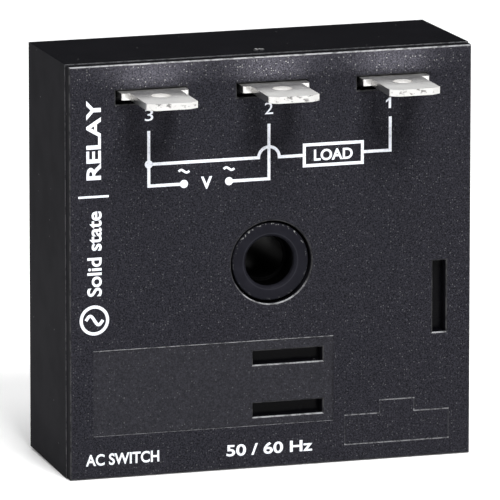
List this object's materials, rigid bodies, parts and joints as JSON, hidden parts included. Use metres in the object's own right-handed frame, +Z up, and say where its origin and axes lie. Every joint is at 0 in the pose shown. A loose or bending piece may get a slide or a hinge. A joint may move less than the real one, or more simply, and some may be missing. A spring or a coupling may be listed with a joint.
{
  "type": "solid state relay module",
  "caption": "Square potted solid state relay module with male quick-connect blades on its front, a bushed central mounting hole and a flat metal mounting face.",
  "frame": {"origin": "centre of the mounting hole where it meets the flat mounting face at the back", "axes": "+Y out of the mounting face into the panel behind, -Y towards the front where the blades point, +X to the right seen from the front, +Z up towards the terminal row"},
  "size_m": [0.0508, 0.0273, 0.0509],
  "materials": {
    "case_plastic": "fine spark-eroded texture in front, smooth matte sides",
    "bushing_plastic": "smooth satin black",
    "plate_aluminium": "rolled, lightly scratched",
    "potting_resin": "glossy cast resin",
    "tinned_brass": "bright tin plate over brass",
    "board_laminate": "green lacquer on glass laminate",
    "copper_foil": "etched copper",
    "solder": "bright solder",
    "black_epoxy": "moulded epoxy",
    "tinned_copper": "tinned",
    "pad_rubber": "soft silicone sheet",
    "white_epoxy": "moulded epoxy",
    "yellow_casing": "moulded box",
    "blue_lacquer": "lacquered film resistor",
    "can_sleeve": "shrunk sleeve over an aluminium can",
    "seal_rubber": "rubber bung",
    "grey_enamel": "flameproof enamel",
    "blue_coating": "dipped epoxy over a ceramic disc",
    "silver_paint": "painted band",
    "diode_glass": "amber glass",
    "black_paint": "painted band",
    "tan_lacquer": "lacquered carbon film resistor",
    "brown_paint": "painted bands",
    "orange_coating": "dipped ceramic disc",
    "print_ink": "white screen print"
  },
  "bodies": {
    "root": {"case": "case_plastic", "mounting_bushing": "bushing_plastic", "mounting_plate": "plate_aluminium", "potting_compound": "potting_resin", "terminal_1": "tinned_brass", "terminal_2": "tinned_brass", "terminal_3": "tinned_brass", "circuit_board": "board_laminate", "copper_tracks": "copper_foil", "solder_joints": "solder", "triac_body": "black_epoxy", "triac_tab": "tinned_copper", "triac_leads": "tinned_copper", "thermal_pad": "pad_rubber", "trigger_coupler": "white_epoxy", "trigger_coupler_pins": "tinned_copper", "control_chip": "black_epoxy", "control_chip_pins": "tinned_copper", "snubber_capacitor": "yellow_casing", "snubber_capacitor_leads": "tinned_copper", "snubber_resistor": "blue_lacquer", "supply_capacitor": "can_sleeve", "supply_capacitor_seal": "seal_rubber", "supply_capacitor_leads": "tinned_copper", "supply_resistor": "grey_enamel", "varistor": "blue_coating", "varistor_leads": "tinned_copper", "rectifier_diodes": "black_epoxy", "diode_bands": "silver_paint", "zener_diode": "diode_glass", "zener_band": "black_paint", "gate_transistor": "black_epoxy", "gate_transistor_leads": "tinned_copper", "timing_resistors": "tan_lacquer", "resistor_bands": "brown_paint", "ceramic_capacitors": "orange_coating", "ceramic_capacitor_leads": "tinned_copper", "axial_leads": "tinned_copper", "printed_diagram": "print_ink"}
  },
  "joints": []
}
